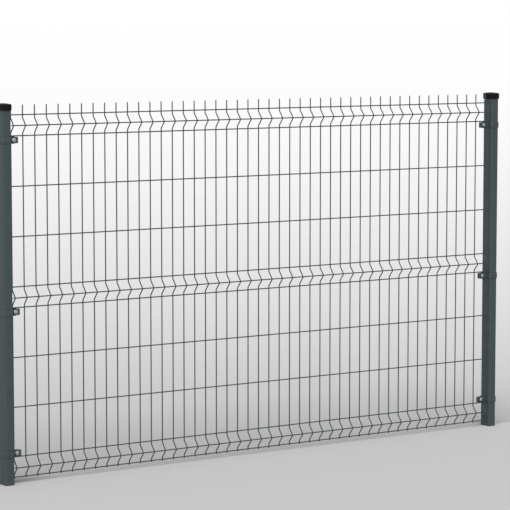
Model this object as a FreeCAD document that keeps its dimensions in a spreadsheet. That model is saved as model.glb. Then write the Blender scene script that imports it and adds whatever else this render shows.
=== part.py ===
import FreeCAD, Part
import math
import os
import Sketcher

# One bay of folded welded mesh fencing between two rectangular posts, in millimetres.
# The origin is the centre of the left post's foot. +X runs along the fence to the right
# post, +Y away from the side that the folds point to, and +Z up.

SIZES = {
    # Posts: rectangular tube with rounded corners, standing on their cut ends.
    "post_width": 40.0,
    "post_depth": 60.0,
    "post_wall": 2.0,
    "post_corner": 5.0,
    "post_height": 1561.5,
    # Caps: moulded lids that slip over the outside of the tube. Round its top a cap slopes
    # down by the fall over the width of the shoulder.
    "cap_overhang": 4.2,
    "cap_corner": 8.0,
    "cap_shoulder": 6.8,
    "cap_fall": 3.2,
    "cap_plate": 4.0,
    "cap_height": 29.5,
    # Mesh: upright wires with welded horizontal rails behind them.
    "wire_side": 4.0,
    "wire_pitch": 55.0,
    "wires_per_half": 23.0,
    "post_gap": 14.5,
    "mesh_setback": 1.7,
    "rail_stub": 6.5,
    "rail_gap": 206.0,
    "bottom_rail": 25.0,
    "wire_foot": 5.0,
    "spike": 41.0,
    # Folds: three V shaped bands, each between a pair of rails.
    "fold_height": 85.4,
    "fold_depth": 25.0,
    "fold_lead": 12.0,
    # Clamps: a strap round the post whose two ears pinch the end wire.
    "strap_thickness": 3.0,
    "strap_height": 26.0,
    "strap_drop": 3.8,
    "strap_ease": 0.2,
    "ear_reach": 31.0,
    "ear_corner": 2.0,
    "jaw_gap": 4.5,
    # Inserts: rubber packing between the ears, round the end wire, with a lip over the upper
    # and the lower edge of the front ear.
    "insert_behind": 5.0,
    "insert_reach": 15.0,
    "insert_slot": 4.2,
    "insert_lip": 1.9,
    # Bolts and nuts: one cup head bolt with a square neck through each pair of ears. The
    # head slopes in by the shoulder above its upright edge.
    "bolt_reach": 11.0,
    "bolt_diameter": 8.0,
    "bolt_clearance": 0.4,
    "bolt_tail": 2.5,
    "head_diameter": 19.0,
    "head_height": 5.5,
    "head_edge": 3.5,
    "head_shoulder": 2.5,
    "nut_flats": 13.0,
    "nut_height": 6.5,
    "thread_clearance": 0.1,
}

FOLDS = 3
SINGLES_PER_FIELD = 2
# Sides of the small round parts.
ROUND_SIDES = 12
# Two levels closer than this are the same one.
NEAR = 0.01

# Lengths that follow from the sheet.
FIRST_WIRE = "(dims.post_width / 2 + dims.post_gap)"
HALF_WIDTH = "((dims.wires_per_half - 0.5) * dims.wire_pitch)"
BAY = f"(2 * {FIRST_WIRE} + 2 * {HALF_WIDTH})"
FOLD_PERIOD = f"(dims.fold_height + {SINGLES_PER_FIELD + 1} * dims.rail_gap)"
TOP_RAIL = f"(dims.fold_height + {FOLDS - 1} * {FOLD_PERIOD})"
JAW_BACK = "(dims.jaw_gap / 2 + dims.strap_thickness)"
HOLE = "(dims.bolt_diameter + dims.bolt_clearance)"
# Leg of a 45 degree bend that passes a round corner of radius 1.
BEND_LEG = "(2 - sqrt(2))"
EAR_END = "(dims.post_gap + dims.ear_reach)"
CLAMP_DROP = "(dims.strap_drop + dims.strap_height / 2)"
LEVELS = {
    "bottom": f"(dims.bottom_rail + dims.fold_height + {CLAMP_DROP})",
    "middle": f"(dims.bottom_rail + {FOLD_PERIOD} - {CLAMP_DROP})",
    "top": f"(dims.bottom_rail + {FOLDS - 1} * {FOLD_PERIOD} - {CLAMP_DROP})",
}

doc = FreeCAD.newDocument("mesh_fence_bay")
dims = doc.addObject("Spreadsheet::Sheet", "dims")
for row, (alias, size) in enumerate(SIZES.items(), start=1):
    dims.set(f"A{row}", alias)
    dims.set(f"B{row}", str(size))
    dims.setAlias(f"B{row}", alias)
doc.recompute()
parts = []


def number(expression):
    """Present value of an expression on the sheet."""
    return float(dims.evalExpression(expression))


def new_body(name, x="0", y="0", z="0"):
    """Body of one sub-part, placed by three expressions."""
    body = doc.addObject("PartDesign::Body", name)
    body.Label = name
    for axis, expression in zip("xyz", (x, y, z)):
        if expression != "0":
            body.setExpression(f".Placement.Base.{axis}", expression)
    parts.append(body)
    return body


def origin_feature(body, role):
    """Plane or axis of the body's own origin."""
    return next(item for item in body.Origin.OriginFeatures if item.Role == role)


def new_sketch(body, name, role, offset="0"):
    """Sketch on one of the body's origin planes, moved along its normal."""
    sketch = body.newObject("Sketcher::SketchObject", name)
    sketch.AttachmentSupport = [(origin_feature(body, role), "")]
    sketch.MapMode = "FlatFace"
    if offset != "0":
        sketch.setExpression(".AttachmentOffset.Base.z", offset)
    return sketch


def bind(sketch, kind, geometry, expression):
    """Dimension on a sketch whose value follows an expression."""
    index = sketch.addConstraint(Sketcher.Constraint(kind, *geometry, number(expression)))
    sketch.setExpression(f"Constraints[{index}]", expression)


def place_point(sketch, line, end, x, y):
    """Fixes one point of a sketch from the sketch origin."""
    bind(sketch, "DistanceX", (-1, 1, line, end), x)
    bind(sketch, "DistanceY", (-1, 1, line, end), y)


def add_polyline(sketch, corners, closed):
    """Straight lines through corners that are given as pairs of expressions."""
    points = [FreeCAD.Vector(number(x), number(y), 0) for x, y in corners]
    ends = points[1:] + points[:1] if closed else points[1:]
    lines = [sketch.addGeometry(Part.LineSegment(*pair), False) for pair in zip(points, ends)]
    followers = lines[1:] + lines[:1] if closed else lines[1:]
    for line, follower in zip(lines, followers):
        sketch.addConstraint(Sketcher.Constraint("Coincident", line, 2, follower, 1))
    for line, (x, y) in zip(lines, corners):
        place_point(sketch, line, 1, x, y)
    if not closed:
        place_point(sketch, lines[-1], 2, *corners[-1])


def add_box_outline(sketch, left, right, low, high):
    """Rectangle between four expressions."""
    add_polyline(sketch, [(left, low), (right, low), (right, high), (left, high)], True)


def add_bar_outline(sketch, x, y):
    """Square section of a wire, centred on a point."""
    half = "dims.wire_side / 2"
    add_box_outline(sketch, f"{x} - {half}", f"{x} + {half}", f"{y} - {half}", f"{y} + {half}")


def add_rounded_rectangle(sketch, width, depth, radius):
    """Rectangle about the origin with four equal round corners."""
    half_x = number(width) / 2
    half_y = number(depth) / 2
    round_off = number(radius)
    flat_x = half_x - round_off
    flat_y = half_y - round_off
    sides = [((-flat_x, -half_y), (flat_x, -half_y)), ((half_x, -flat_y), (half_x, flat_y)),
             ((flat_x, half_y), (-flat_x, half_y)), ((-half_x, flat_y), (-half_x, -flat_y))]
    centres = [(flat_x, -flat_y), (flat_x, flat_y), (-flat_x, flat_y), (-flat_x, -flat_y)]
    lines, arcs = [], []
    for quarter, ((start, end), centre) in enumerate(zip(sides, centres)):
        line = Part.LineSegment(FreeCAD.Vector(*start, 0), FreeCAD.Vector(*end, 0))
        lines.append(sketch.addGeometry(line, False))
        circle = Part.Circle(FreeCAD.Vector(*centre, 0), FreeCAD.Vector(0, 0, 1), round_off)
        arc = Part.ArcOfCircle(circle, (quarter - 1) * math.pi / 2, quarter * math.pi / 2)
        arcs.append(sketch.addGeometry(arc, False))
    for index in range(4):
        following = lines[(index + 1) % 4]
        sketch.addConstraint(Sketcher.Constraint("Tangent", lines[index], 2, arcs[index], 1))
        sketch.addConstraint(Sketcher.Constraint("Tangent", arcs[index], 2, following, 1))
        straight = "Vertical" if index % 2 else "Horizontal"
        sketch.addConstraint(Sketcher.Constraint(straight, lines[index]))
        if index:
            sketch.addConstraint(Sketcher.Constraint("Equal", arcs[0], arcs[index]))
    sketch.addConstraint(Sketcher.Constraint("Symmetric", lines[1], 1, lines[3], 1, -1, 1))
    bind(sketch, "DistanceX", (lines[3], 1, lines[1], 1), width)
    bind(sketch, "DistanceY", (lines[0], 1, lines[2], 1), depth)
    bind(sketch, "Radius", (arcs[0],), radius)


def add_bent_rectangle(sketch, width, depth, leg):
    """Rectangle about the origin whose four corners are bent over at 45 degrees."""
    x, y = f"({width}) / 2", f"({depth}) / 2"
    add_polyline(sketch, [
        (f"-{x} + {leg}", f"-{y}"), (f"{x} - {leg}", f"-{y}"),
        (x, f"-{y} + {leg}"), (x, f"{y} - {leg}"),
        (f"{x} - {leg}", y), (f"-{x} + {leg}", y),
        (f"-{x}", f"{y} - {leg}"), (f"-{x}", f"-{y} + {leg}")], True)


def add_square(sketch, x, side):
    """Square on the sketch's first axis, centred at x."""
    half = f"{side} / 2"
    add_box_outline(sketch, f"{x} - {half}", f"{x} + {half}", f"-{half}", half)


def add_many_sided(sketch, radius, sides):
    """Regular outline about the origin, with its corners on a circle."""
    angles = [360 * (step + 0.5) / sides for step in range(sides)]
    add_polyline(sketch, [(f"({radius}) * cos({angle} deg)", f"({radius}) * sin({angle} deg)")
                          for angle in angles], True)


def add_pad(body, name, sketch, length, midplane=False, reversed_way=False):
    """Pad of a sketch along its normal."""
    pad = body.newObject("PartDesign::Pad", name)
    pad.Profile = sketch
    pad.setExpression("Length", length)
    pad.Midplane = midplane
    pad.Reversed = reversed_way
    return pad


def add_through_pocket(body, name, sketch):
    """Pocket of a sketch through the whole solid, both ways."""
    pocket = body.newObject("PartDesign::Pocket", name)
    pocket.Profile = sketch
    pocket.Type = "ThroughAll"
    pocket.Midplane = True
    return pocket


def edges_in_plane(feature, axis, level):
    """Names of the edges of a feature that lie across an axis at one level."""
    found = []
    for index, edge in enumerate(feature.Shape.Edges, start=1):
        low = getattr(edge.BoundBox, f"{axis}Min")
        high = getattr(edge.BoundBox, f"{axis}Max")
        if abs(low - level) < NEAR and abs(high - level) < NEAR:
            found.append(f"Edge{index}")
    return found


def add_chamfer(body, name, base, edges, size):
    """Bevel of equal legs along some edges of a feature."""
    chamfer = body.newObject("PartDesign::Chamfer", name)
    chamfer.Base = (base, edges)
    chamfer.setExpression("Size", size)
    return chamfer


def add_slope(body, name, base, edges, down, across):
    """Bevel of two different legs along some edges of a feature."""
    slope = add_chamfer(body, name, base, edges, down)
    slope.ChamferType = "Two distances"
    slope.setExpression("Size2", across)
    return slope


def add_pattern(body, name, features, role, length, copies):
    """Row of copies of some features along one axis of the body."""
    pattern = body.newObject("PartDesign::LinearPattern", name)
    pattern.Originals = features
    pattern.Direction = (origin_feature(body, role), [""])
    pattern.setExpression("Length", length)
    pattern.setExpression("Occurrences", copies)
    body.Tip = pattern
    return pattern


def add_mirror(source, name):
    """Copy of a piece of the left post's side, mirrored to the right post's side."""
    mirror = doc.addObject("Part::Mirroring", name)
    mirror.Label = name
    mirror.Source = source
    mirror.Normal = FreeCAD.Vector(1, 0, 0)
    mirror.setExpression("Base.x", f"{BAY} / 2")
    parts.append(mirror)
    return mirror


def make_post(name, x):
    """Rectangular tube of a post."""
    body = new_body(name, x)
    section = new_sketch(body, f"{name}_section", "XY_Plane")
    add_rounded_rectangle(section, "dims.post_width", "dims.post_depth", "dims.post_corner")
    wall = "2 * dims.post_wall"
    add_rounded_rectangle(section, f"dims.post_width - {wall}", f"dims.post_depth - {wall}",
                          "dims.post_corner - dims.post_wall")
    add_pad(body, f"{name}_tube", section, "dims.post_height")


def make_cap(name, x):
    """Moulded cap whose skirt goes over the tube and whose plate closes its top."""
    skirt = "(dims.cap_height - dims.cap_plate)"
    body = new_body(name, x, z=f"dims.post_height - {skirt}")
    outline = new_sketch(body, f"{name}_outline", "XY_Plane")
    overhang = "2 * dims.cap_overhang"
    add_rounded_rectangle(outline, f"dims.post_width + {overhang}",
                          f"dims.post_depth + {overhang}", "dims.cap_corner")
    add_pad(body, f"{name}_block", outline, "dims.cap_height")
    socket = new_sketch(body, f"{name}_socket", "XY_Plane")
    add_rounded_rectangle(socket, "dims.post_width", "dims.post_depth", "dims.post_corner")
    hollow = body.newObject("PartDesign::Pocket", f"{name}_hollow")
    hollow.Profile = socket
    hollow.Reversed = True
    hollow.setExpression("Length", skirt)
    doc.recompute()
    rim = edges_in_plane(hollow, "Z", number("dims.cap_height"))
    add_slope(body, f"{name}_shoulder", hollow, rim, "dims.cap_fall", "dims.cap_shoulder")


def folded_path():
    """Corners of an upright wire's centre line, from its foot to its spike."""
    corners = [("0", "0")]
    for fold in range(FOLDS):
        low = f"(dims.wire_foot + {fold} * {FOLD_PERIOD})"
        corners.append(("0", f"{low} + dims.fold_lead"))
        corners.append(("-dims.fold_depth", f"{low} + dims.fold_height / 2"))
        corners.append(("0", f"{low} + dims.fold_height - dims.fold_lead"))
    corners.append(("0", f"dims.wire_foot + {TOP_RAIL} + dims.spike"))
    return corners


def make_half_mesh(name):
    """Left half of the panel, from the left post to the middle of the bay."""
    body = new_body(name, FIRST_WIRE, "dims.mesh_setback", "dims.bottom_rail - dims.wire_foot")
    section = new_sketch(body, f"{name}_wire_section", "XY_Plane")
    add_bar_outline(section, "0", "0")
    path = new_sketch(body, f"{name}_wire_path", "YZ_Plane")
    add_polyline(path, folded_path(), False)
    wire = body.newObject("PartDesign::AdditivePipe", f"{name}_wire")
    wire.Profile = section
    wire.Spine = path
    wire.Transition = "Right corner"

    rail_length = f"dims.rail_stub + {HALF_WIDTH}"
    behind = "dims.wire_side"
    fold_rails = new_sketch(body, f"{name}_fold_rail_sections", "YZ_Plane", "-dims.rail_stub")
    add_bar_outline(fold_rails, behind, "dims.wire_foot")
    add_bar_outline(fold_rails, f"{behind} - dims.fold_depth",
                    "dims.wire_foot + dims.fold_height / 2")
    add_bar_outline(fold_rails, behind, "dims.wire_foot + dims.fold_height")
    folds = add_pad(body, f"{name}_fold_rails", fold_rails, rail_length)
    add_pattern(body, f"{name}_all_fold_rails", [folds], "Z_Axis",
                f"{FOLDS - 1} * {FOLD_PERIOD}", f"{FOLDS}")

    single_rails = new_sketch(body, f"{name}_single_rail_sections", "YZ_Plane", "-dims.rail_stub")
    for step in range(1, SINGLES_PER_FIELD + 1):
        add_bar_outline(single_rails, behind,
                        f"dims.wire_foot + dims.fold_height + {step} * dims.rail_gap")
    singles = add_pad(body, f"{name}_single_rails", single_rails, rail_length)
    add_pattern(body, f"{name}_all_single_rails", [singles], "Z_Axis",
                f"{FOLDS - 2} * {FOLD_PERIOD}", f"{FOLDS - 1}")

    add_pattern(body, f"{name}_wires", [wire], "X_Axis",
                "(dims.wires_per_half - 1) * dims.wire_pitch", "dims.wires_per_half")
    return body


def make_strap(name, level):
    """Steel strap round the left post, split at the mesh and turned out as two ears."""
    body = new_body(name, z=level)
    ring = new_sketch(body, f"{name}_ring", "XY_Plane")
    wrap = "2 * dims.strap_thickness"
    inner_leg = f"({BEND_LEG} * dims.post_corner - sqrt(2) * dims.strap_ease)"
    outer_leg = f"({inner_leg} + {BEND_LEG} * dims.strap_thickness)"
    add_bent_rectangle(ring, f"dims.post_width + {wrap}", f"dims.post_depth + {wrap}", outer_leg)
    add_bent_rectangle(ring, "dims.post_width", "dims.post_depth", inner_leg)
    add_pad(body, f"{name}_band", ring, "dims.strap_height", midplane=True)
    face = "dims.post_width / 2"
    ears = new_sketch(body, f"{name}_ear_block", "XY_Plane")
    add_box_outline(ears, face, f"{face} + {EAR_END}", f"dims.mesh_setback - {JAW_BACK}",
                    f"dims.mesh_setback + {JAW_BACK}")
    add_pad(body, f"{name}_ears", ears, "dims.strap_height", midplane=True)
    slot = new_sketch(body, f"{name}_slot", "XY_Plane")
    add_box_outline(slot, f"{face} - 1", f"{face} + {EAR_END} + 1",
                    "dims.mesh_setback - dims.jaw_gap / 2", "dims.mesh_setback + dims.jaw_gap / 2")
    add_through_pocket(body, f"{name}_jaws", slot)
    bore = new_sketch(body, f"{name}_bore", "XZ_Plane")
    add_square(bore, f"{FIRST_WIRE} + dims.bolt_reach", HOLE)
    bored = add_through_pocket(body, f"{name}_bolt_hole", bore)
    doc.recompute()
    ends = edges_in_plane(bored, "X", number(f"{face} + {EAR_END}"))
    across = [edge for edge in ends if bored.Shape.getElement(edge).BoundBox.YLength > NEAR]
    add_chamfer(body, f"{name}_ear_corners", bored, across, "dims.ear_corner")
    return body


def make_insert(name, level):
    """Rubber packing between the ears, slotted for the end wire and pierced for the bolt."""
    body = new_body(name, FIRST_WIRE, "dims.mesh_setback", level)
    outline = new_sketch(body, f"{name}_outline", "XY_Plane")
    half_gap = "dims.jaw_gap / 2"
    half_slot = "dims.insert_slot / 2"
    add_polyline(outline, [
        (half_slot, f"-{half_gap}"), ("dims.insert_reach", f"-{half_gap}"),
        ("dims.insert_reach", half_gap), ("-dims.insert_behind", half_gap),
        ("-dims.insert_behind", half_slot), (half_slot, half_slot)], True)
    add_pad(body, f"{name}_block", outline, "dims.strap_height", midplane=True)
    half_height = "dims.strap_height / 2"
    for edge, offset in (("upper", half_height), ("lower", f"-{half_height} - dims.insert_lip")):
        lip = new_sketch(body, f"{name}_{edge}_lip_outline", "XY_Plane", offset)
        add_box_outline(lip, half_slot, "dims.insert_reach", f"-{JAW_BACK}", "0")
        add_pad(body, f"{name}_{edge}_lip", lip, "dims.insert_lip")
    bore = new_sketch(body, f"{name}_bore", "XZ_Plane")
    add_square(bore, "dims.bolt_reach", HOLE)
    add_through_pocket(body, f"{name}_bolt_hole", bore)
    return body


def make_bolt(name, level):
    """Cup head bolt: domed head on the front ear, square neck, and shank through both ears."""
    body = new_body(name, f"{FIRST_WIRE} + dims.bolt_reach", f"dims.mesh_setback - {JAW_BACK}",
                    level)
    outline = new_sketch(body, f"{name}_head_outline", "XZ_Plane")
    add_many_sided(outline, "dims.head_diameter / 2", ROUND_SIDES)
    head = add_pad(body, f"{name}_head", outline, "dims.head_height")
    doc.recompute()
    rim = edges_in_plane(head, "Y", -number("dims.head_height"))
    add_slope(body, f"{name}_shoulder", head, rim, "dims.head_height - dims.head_edge",
              "dims.head_shoulder")
    neck = new_sketch(body, f"{name}_neck_outline", "XZ_Plane")
    add_square(neck, "0", "dims.bolt_diameter")
    add_pad(body, f"{name}_neck", neck, "dims.strap_thickness", reversed_way=True)
    shank = new_sketch(body, f"{name}_shank_outline", "XZ_Plane")
    add_many_sided(shank, "dims.bolt_diameter / 2", ROUND_SIDES)
    add_pad(body, f"{name}_shank", shank, f"2 * {JAW_BACK} + dims.nut_height + dims.bolt_tail",
            reversed_way=True)
    return body


def make_nut(name, level):
    """Hexagon nut behind the rear ear."""
    body = new_body(name, f"{FIRST_WIRE} + dims.bolt_reach", f"dims.mesh_setback + {JAW_BACK}",
                    level)
    section = new_sketch(body, f"{name}_section", "XZ_Plane")
    add_many_sided(section, "dims.nut_flats / sqrt(3)", 6)
    add_many_sided(section, "dims.bolt_diameter / 2 + dims.thread_clearance", ROUND_SIDES)
    add_pad(body, f"{name}_hexagon", section, "dims.nut_height", reversed_way=True)
    return body


make_post("post_left", "0")
make_post("post_right", BAY)
make_cap("cap_left", "0")
make_cap("cap_right", BAY)
half_mesh = make_half_mesh("mesh_left")
add_mirror(half_mesh, "mesh_right")
for level_name, level_height in LEVELS.items():
    for kind, maker in (("strap", make_strap), ("insert", make_insert),
                        ("bolt", make_bolt), ("nut", make_nut)):
        piece = maker(f"{kind}_left_{level_name}", level_height)
        add_mirror(piece, f"{kind}_right_{level_name}")
doc.recompute()

failed = [item.Name for item in doc.Objects if {"Invalid", "Error"} & set(item.State)]
if failed:
    raise RuntimeError(f"objects that failed to build: {failed}")
for part in parts:
    if part.Shape.isNull() or not part.Shape.isValid():
        raise RuntimeError(f"shape of {part.Label} is not usable")

os.makedirs("parts", exist_ok=True)
for part in parts:
    part.Shape.exportStep(f"parts/{part.Label}.step")
    print(part.Label, len(part.Shape.Solids), round(part.Shape.Volume / 1000, 2), "cm3")
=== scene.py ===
"""Dresses one bay of folded welded mesh fencing, in metres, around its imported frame.

The round wires, the rails and their welds stand for the two square barred halves of the
mesh. Coated tube posts, moulded caps and bolted clamps stand for the plain pieces of the
same names.
"""

import logging
import math
from dataclasses import dataclass, field
from enum import Enum
from typing import Any, Iterable, Sequence, TypeAlias

import bpy
import numpy as np
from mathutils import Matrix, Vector


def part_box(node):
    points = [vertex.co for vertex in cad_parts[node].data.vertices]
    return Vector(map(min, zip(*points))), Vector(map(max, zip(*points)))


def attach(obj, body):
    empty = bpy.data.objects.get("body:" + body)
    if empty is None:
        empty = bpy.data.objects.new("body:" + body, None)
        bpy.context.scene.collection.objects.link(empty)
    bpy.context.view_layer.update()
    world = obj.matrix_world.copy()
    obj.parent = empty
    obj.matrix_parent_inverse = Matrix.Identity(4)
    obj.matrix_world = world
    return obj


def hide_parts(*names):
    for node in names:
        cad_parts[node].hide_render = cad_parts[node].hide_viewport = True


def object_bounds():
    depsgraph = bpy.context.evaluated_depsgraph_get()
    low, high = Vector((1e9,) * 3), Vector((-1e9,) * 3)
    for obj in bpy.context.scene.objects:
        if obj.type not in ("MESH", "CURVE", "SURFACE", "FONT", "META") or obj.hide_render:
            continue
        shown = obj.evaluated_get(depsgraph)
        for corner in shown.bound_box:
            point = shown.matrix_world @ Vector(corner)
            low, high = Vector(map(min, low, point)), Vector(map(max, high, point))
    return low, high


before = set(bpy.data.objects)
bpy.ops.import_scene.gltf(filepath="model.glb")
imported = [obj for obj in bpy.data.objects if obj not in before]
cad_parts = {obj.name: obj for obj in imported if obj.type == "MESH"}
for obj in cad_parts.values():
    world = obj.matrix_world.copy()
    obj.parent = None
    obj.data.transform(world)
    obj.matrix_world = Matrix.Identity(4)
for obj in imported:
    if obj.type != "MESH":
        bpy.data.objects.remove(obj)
CAD_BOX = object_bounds()

LOG = logging.getLogger("mesh_fence_bay")
BODY = "root"
FULL_TURN = 2 * math.pi
NO_TRIANGLES = np.empty((0, 3), int)
# Outer corner radius of the posts, and Y of the upright wires between their folds.
POST_CORNER = 0.005
SETBACK = 0.0017
# Chords in each corner of the tubes, the liners and the caps, and of the small blocks, and the
# rings over the rounded edge at each end of those blocks.
CORNER_STEPS = 10
BLOCK_STEPS = 4
BLOCK_RINGS = 4
# Middle of the shader's noise.
NOISE_MIDDLE = 0.5

# One size for all outlines or one for each, places in a row, what shader maths takes, and red,
# green and blue as they show on a screen, from 0 to 255.
Spread: TypeAlias = float | np.ndarray
Row: TypeAlias = Sequence[float] | np.ndarray
Operand: TypeAlias = "Socket | float"
Tone: TypeAlias = tuple[float, float, float]


class Side(Enum):
    """The two posts, named as the pieces at each are."""

    LEFT = "left"
    RIGHT = "right"


class Level(Enum):
    """The three heights at which a post holds the mesh."""

    BOTTOM = "bottom"
    MIDDLE = "middle"
    TOP = "top"


class Slot(Enum):
    """Material slots of the record."""

    COAT = "powder_coat"
    PLASTIC = "cap_plastic"
    RUBBER = "insert_rubber"
    ZINC = "zinc_steel"


@dataclass(frozen=True)
class Surface:
    """Closed shape made of quads and of the triangles that close its poles."""

    points: np.ndarray
    quads: np.ndarray
    triangles: np.ndarray

    def moved(self, x: float, y: float) -> "Surface":
        """Same shape, shifted along the ground."""
        return Surface(self.points + np.array([x, y, 0.0]), self.quads, self.triangles)

    def mirrored(self, plane_x: float) -> "Surface":
        """Mirror image across a plane of constant X, turned so that its faces point outwards.

        Args:
            plane_x: where the plane crosses the X axis.

        Returns:
            The mirrored shape.
        """
        points = self.points * np.array([-1.0, 1.0, 1.0]) + np.array([2 * plane_x, 0.0, 0.0])
        return Surface(points, self.quads[:, ::-1], self.triangles[:, ::-1])

    def repeated(self, shifts: np.ndarray) -> "Surface":
        """Copies of the shape at every shift, as one shape.

        Args:
            shifts: rows of X, Y and Z offsets.

        Returns:
            All the copies, each with its own points.
        """
        first = (np.arange(len(shifts)) * len(self.points))[:, None, None]
        return Surface((self.points[None] + shifts[:, None, :]).reshape(-1, 3),
                       (self.quads[None] + first).reshape(-1, 4),
                       (self.triangles[None] + first).reshape(-1, 3))


def joined(shapes: Iterable[Surface]) -> Surface:
    """Several shapes as one, each with its own points.

    Args:
        shapes: the shapes to join.

    Returns:
        One shape.
    """
    points, quads, triangles, count = [], [], [], 0
    for shape in shapes:
        points.append(shape.points)
        quads.append(shape.quads + count)
        triangles.append(shape.triangles + count)
        count += len(shape.points)
    return Surface(np.concatenate(points), np.concatenate(quads), np.concatenate(triangles))


def carried(rings: np.ndarray, loop: bool = False) -> Surface:
    """Skin over rings of points that follow each other along a path.

    Each ring closes on itself. Seen along the path it runs anticlockwise, so that across
    the ring times along the path points outwards.

    Args:
        rings: array of ring, point and coordinate.
        loop: whether the last ring leads back to the first. Otherwise each end is closed by
            a fan about the middle of its ring.

    Returns:
        The closed shape.
    """
    rows, columns = rings.shape[:2]
    index = np.arange(rows * columns).reshape(rows, columns)
    beside = np.roll(index, -1, axis=1)
    if loop:
        ahead, ahead_beside = np.roll(index, -1, axis=0), np.roll(beside, -1, axis=0)
        quads = np.stack([index, beside, ahead_beside, ahead], axis=-1).reshape(-1, 4)
        return Surface(rings.reshape(-1, 3), quads, NO_TRIANGLES)
    quads = np.stack([index[:-1], beside[:-1], beside[1:], index[1:]], axis=-1).reshape(-1, 4)
    poles = np.stack([rings[0].mean(axis=0), rings[-1].mean(axis=0)])
    start, end = np.full(columns, rows * columns), np.full(columns, rows * columns + 1)
    fans = [np.stack([start, beside[0], index[0]], axis=-1),
            np.stack([end, index[-1], beside[-1]], axis=-1)]
    return Surface(np.concatenate([rings.reshape(-1, 3), poles]), quads, np.concatenate(fans))


def rounded_rectangle(width: Spread, depth: Spread, radius: Spread, steps: int) -> np.ndarray:
    """Anticlockwise outline with four round corners about the origin.

    A point is the centre of its corner's circle plus the radius times the cosine and sine of
    its angle. Each corner spans a quarter turn.

    Args:
        width: size along the first axis, or one size for each of several outlines.
        depth: size along the second axis, in the same form.
        radius: corner radius, in the same form.
        steps: number of chords in each corner.

    Returns:
        Array of outline, point and coordinate.
    """
    width, depth, radius = (np.atleast_1d(size)[:, None] for size in (width, depth, radius))
    quarter = np.repeat(np.arange(4), steps + 1)
    angle = (quarter + np.tile(np.linspace(0, 1, steps + 1), 4)) * math.pi / 2
    side_x = np.array([1, -1, -1, 1])[quarter]
    side_y = np.array([1, 1, -1, -1])[quarter]
    across = side_x * (width / 2 - radius) + radius * np.cos(angle)
    along = side_y * (depth / 2 - radius) + radius * np.sin(angle)
    return np.stack(np.broadcast_arrays(across, along), axis=-1)


def level_rings(size: tuple[float, float], corner: float, insets: Row, heights: Row,
                steps: int) -> np.ndarray:
    """Rounded rectangles about the Z axis at several insets and heights.

    The outline at an inset i has i taken off every side and off the corner radius.

    Args:
        size: width and depth with no inset.
        corner: corner radius with no inset.
        insets: how far each ring stands in.
        heights: height of each ring.
        steps: number of chords in each corner.

    Returns:
        Array of ring, point and coordinate.
    """
    inset, height = np.asarray(insets, float), np.asarray(heights, float)
    outline = rounded_rectangle(size[0] - 2 * inset, size[1] - 2 * inset, corner - inset, steps)
    tall = np.broadcast_to(height[:, None, None], (*outline.shape[:2], 1))
    return np.concatenate([outline, tall], axis=-1)


def soft_block(low: Sequence[float], high: Sequence[float], soft: float) -> Surface:
    """Upright block whose edges are all rounded, carried up from a rounded outline.

    The rings at both ends stand in along a quarter circle.

    Args:
        low: lowest corner.
        high: highest corner.
        soft: radius of the level edges. The upright ones have twice as much.

    Returns:
        The block.
    """
    angle = np.linspace(0, math.pi / 2, BLOCK_RINGS)
    inset, rise = soft * (1 - np.sin(angle)), soft * (1 - np.cos(angle))
    rings = level_rings((high[0] - low[0], high[1] - low[1]), 2 * soft,
                        np.concatenate([inset, inset[::-1]]),
                        np.concatenate([low[2] + rise, high[2] - rise[::-1]]), BLOCK_STEPS)
    return carried(rings).moved((low[0] + high[0]) / 2, (low[1] + high[1]) / 2)


def open_tube(low: Sequence[float], high: Sequence[float], wall: float, corner: float,
              edge: float) -> Surface:
    """Upright tube of rounded rectangular section, carried up its outside and down its inside.

    Both edges of each end are broken by a small bevel.

    Args:
        low: lowest corner.
        high: highest corner.
        wall: thickness of the wall.
        corner: outer corner radius.
        edge: size of the bevels.

    Returns:
        The tube.
    """
    outside = [(edge, low[2]), (0.0, low[2] + edge), (0.0, high[2] - edge), (edge, high[2])]
    inside = [(wall - inset, height) for inset, height in reversed(outside)]
    insets, heights = np.array(outside + inside).T
    rings = level_rings((high[0] - low[0], high[1] - low[1]), corner, insets, heights,
                        CORNER_STEPS)
    tube = carried(rings, loop=True)
    return tube.moved((low[0] + high[0]) / 2, (low[1] + high[1]) / 2)


def circle(count: int) -> np.ndarray:
    """Angles of points spread evenly round a turn."""
    return np.arange(count) * FULL_TURN / count


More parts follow.
